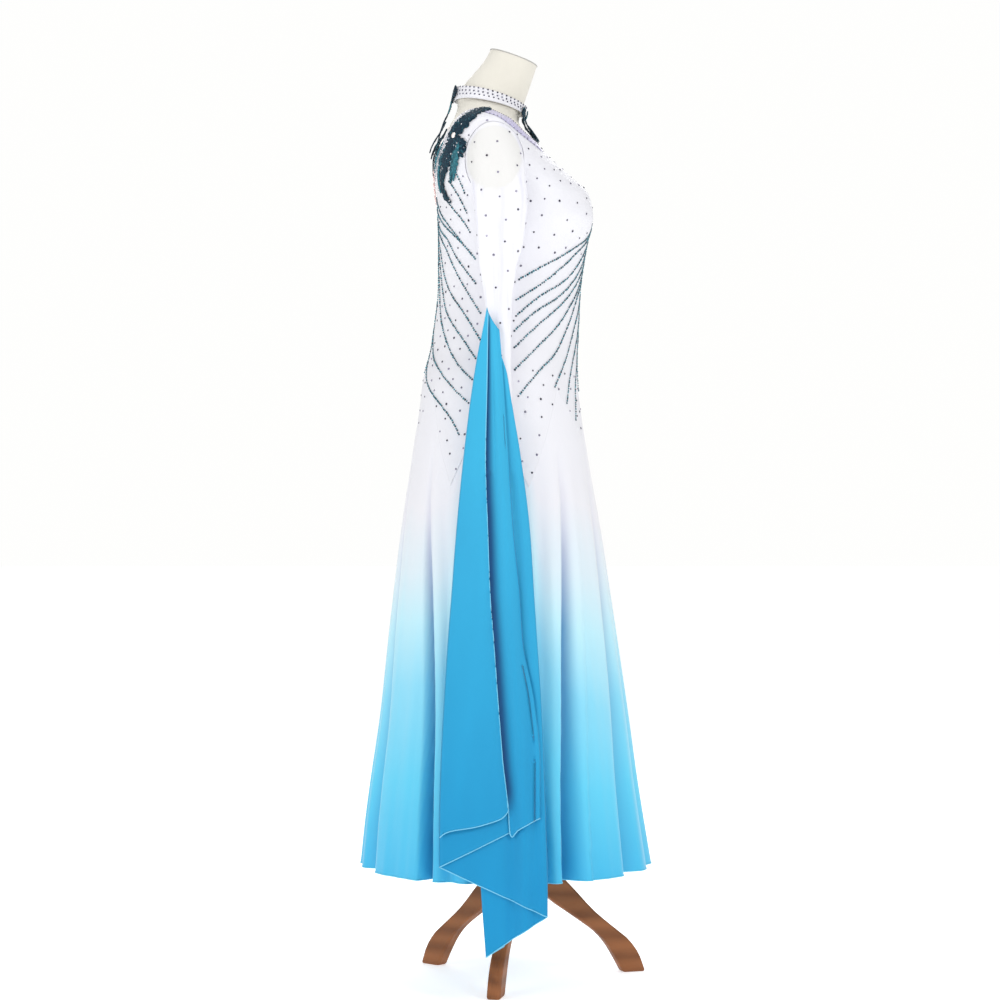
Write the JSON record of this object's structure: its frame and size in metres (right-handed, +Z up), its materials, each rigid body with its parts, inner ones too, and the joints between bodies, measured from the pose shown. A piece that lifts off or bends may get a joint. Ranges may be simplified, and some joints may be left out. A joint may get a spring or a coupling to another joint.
{
  "type": "ballroom dance dress on a dress form with a tripod stand",
  "caption": "Long-sleeved ballroom dance dress with a fluted ankle-length skirt and sleeve floats, worn on a limbless dress form that stands on a wooden tripod.",
  "frame": {"origin": "on the floor, under the middle of the box round the hem and the floats", "axes": "+Z up, -Y towards the wearer's front, -X towards the wearer's right"},
  "size_m": [0.6166, 0.51, 1.6226],
  "materials": {
    "white_stretch": "white stretch knit with a soft sheen, set with small stones",
    "ombre_chiffon": "chiffon that fades from white at the hip to sky blue at the hem",
    "float_chiffon": "sky-blue satin chiffon with a rolled hem",
    "sheer_mesh": "sheer white stretch mesh",
    "teal_applique": "dark teal sequinned lace applique with crystals",
    "form_cover": "smooth cream cotton cover",
    "walnut": "satin varnished brown wood"
  },
  "bodies": {
    "root": {"bodice_front": "white_stretch", "bodice_back": "white_stretch", "collar_band": "white_stretch", "skirt_front": "ombre_chiffon", "skirt_back": "ombre_chiffon", "skirt_side_front_right": "ombre_chiffon", "skirt_side_front_left": "ombre_chiffon", "skirt_side_right": "ombre_chiffon", "skirt_side_left": "ombre_chiffon", "skirt_side_back_right": "ombre_chiffon", "skirt_side_back_left": "ombre_chiffon", "sleeve_right": "sheer_mesh", "sleeve_left": "sheer_mesh", "float_right": "float_chiffon", "float_left": "float_chiffon", "applique_front_strap": "teal_applique", "applique_back_strap": "teal_applique", "applique_back_right": "teal_applique", "applique_back_left": "teal_applique", "form_torso": "form_cover", "stand_pole": "walnut", "stand_hub": "walnut", "stand_leg_1": "walnut", "stand_leg_2": "walnut", "stand_leg_3": "walnut"}
  },
  "joints": []
}
